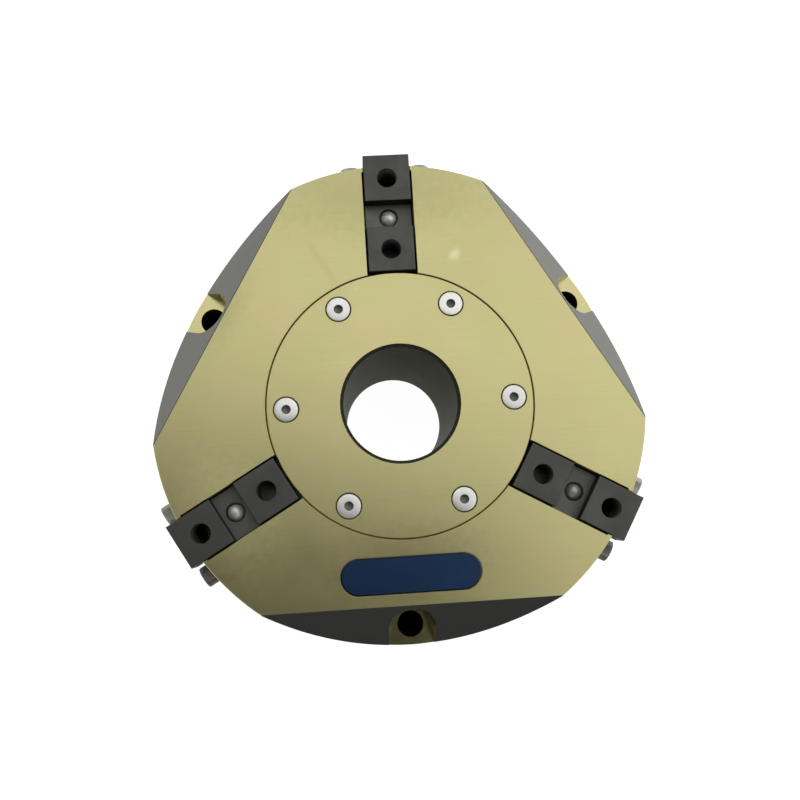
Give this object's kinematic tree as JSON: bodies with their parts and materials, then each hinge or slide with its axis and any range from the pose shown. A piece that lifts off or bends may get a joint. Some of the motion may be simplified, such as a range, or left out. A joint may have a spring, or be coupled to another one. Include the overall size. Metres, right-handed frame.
{
  "type": "three jaw centric gripper",
  "caption": "Centric gripper: radial base jaws in T-guides, moved together by a piston and wedge hook; round body with slanted flanks, pocketed mounting holes and an open centre bore.",
  "frame": {"origin": "on the gripper's axis in the plane of its mounting face", "axes": "+Z along the axis from the mounting face to the jaws, +Y along jaw 1, the badge towards -Y"},
  "size_m": [0.126, 0.1283, 0.0585],
  "materials": {
    "anodised_body": "satin gold-olive anodised",
    "anodised_dark": "satin dark anodised",
    "oxide_steel": "satin black oxide",
    "bright_steel": "bright zinc",
    "ball_steel": "polished",
    "spring_steel": "drawn wire",
    "piston_alloy": "turned",
    "seal_rubber": "smooth",
    "badge_blue": "glossy"
  },
  "bodies": {
    "housing": {"housing": "anodised_body", "top_cover": "anodised_body", "top_cover_screws": "bright_steel", "centre_sleeve": "anodised_dark", "sleeve_seal": "seal_rubber", "bottom_cover": "anodised_body", "bottom_cover_screws": "bright_steel", "bottom_cover_seal": "seal_rubber", "rod_seal": "seal_rubber", "end_plate_1": "oxide_steel", "end_plate_2": "oxide_steel", "end_plate_3": "oxide_steel", "end_plate_screws": "bright_steel", "badge_plate": "badge_blue"},
    "drive": {"wedge_hook": "oxide_steel", "wedge_hook_seal": "seal_rubber", "piston": "piston_alloy", "piston_seal": "seal_rubber", "piston_retaining_ring": "spring_steel"},
    "jaw_1": {"base_jaw_1": "oxide_steel", "detent_sleeve_1": "oxide_steel", "detent_spring_1": "spring_steel"},
    "ball_1": {"detent_ball_1": "ball_steel"},
    "jaw_2": {"base_jaw_2": "oxide_steel", "detent_sleeve_2": "oxide_steel", "detent_spring_2": "spring_steel"},
    "ball_2": {"detent_ball_2": "ball_steel"},
    "jaw_3": {"base_jaw_3": "oxide_steel", "detent_sleeve_3": "oxide_steel", "detent_spring_3": "spring_steel"},
    "ball_3": {"detent_ball_3": "ball_steel"}
  },
  "joints": [
    {"name": "piston_stroke", "type": "slide", "parent": "housing", "child": "drive", "axis": [0, 0, 1], "range_m": [0, 0.01]},
    {"name": "jaw_1_slide", "type": "slide", "parent": "housing", "child": "jaw_1", "axis": [0, 1, 0], "range_m": [0, 0.006]},
    {"name": "ball_1_press", "type": "slide", "parent": "jaw_1", "child": "ball_1", "axis": [0, 0, -1], "range_m": [0, 0.0007], "stiffness_N_per_m": 800, "springref_m": -0.001, "deforming": ["detent_spring_1"]},
    {"name": "jaw_2_slide", "type": "slide", "parent": "housing", "child": "jaw_2", "axis": [-0.866, -0.5, 0], "range_m": [0, 0.006]},
    {"name": "ball_2_press", "type": "slide", "parent": "jaw_2", "child": "ball_2", "axis": [0, 0, -1], "range_m": [0, 0.0007], "stiffness_N_per_m": 800, "springref_m": -0.001, "deforming": ["detent_spring_2"]},
    {"name": "jaw_3_slide", "type": "slide", "parent": "housing", "child": "jaw_3", "axis": [0.866, -0.5, 0], "range_m": [0, 0.006]},
    {"name": "ball_3_press", "type": "slide", "parent": "jaw_3", "child": "ball_3", "axis": [0, 0, -1], "range_m": [0, 0.0007], "stiffness_N_per_m": 800, "springref_m": -0.001, "deforming": ["detent_spring_3"]}
  ],
  "couplings": [
    {"joint": "jaw_1_slide", "follows": "piston_stroke", "ratio": 0.6},
    {"joint": "jaw_2_slide", "follows": "piston_stroke", "ratio": 0.6},
    {"joint": "jaw_3_slide", "follows": "piston_stroke", "ratio": 0.6}
  ]
}
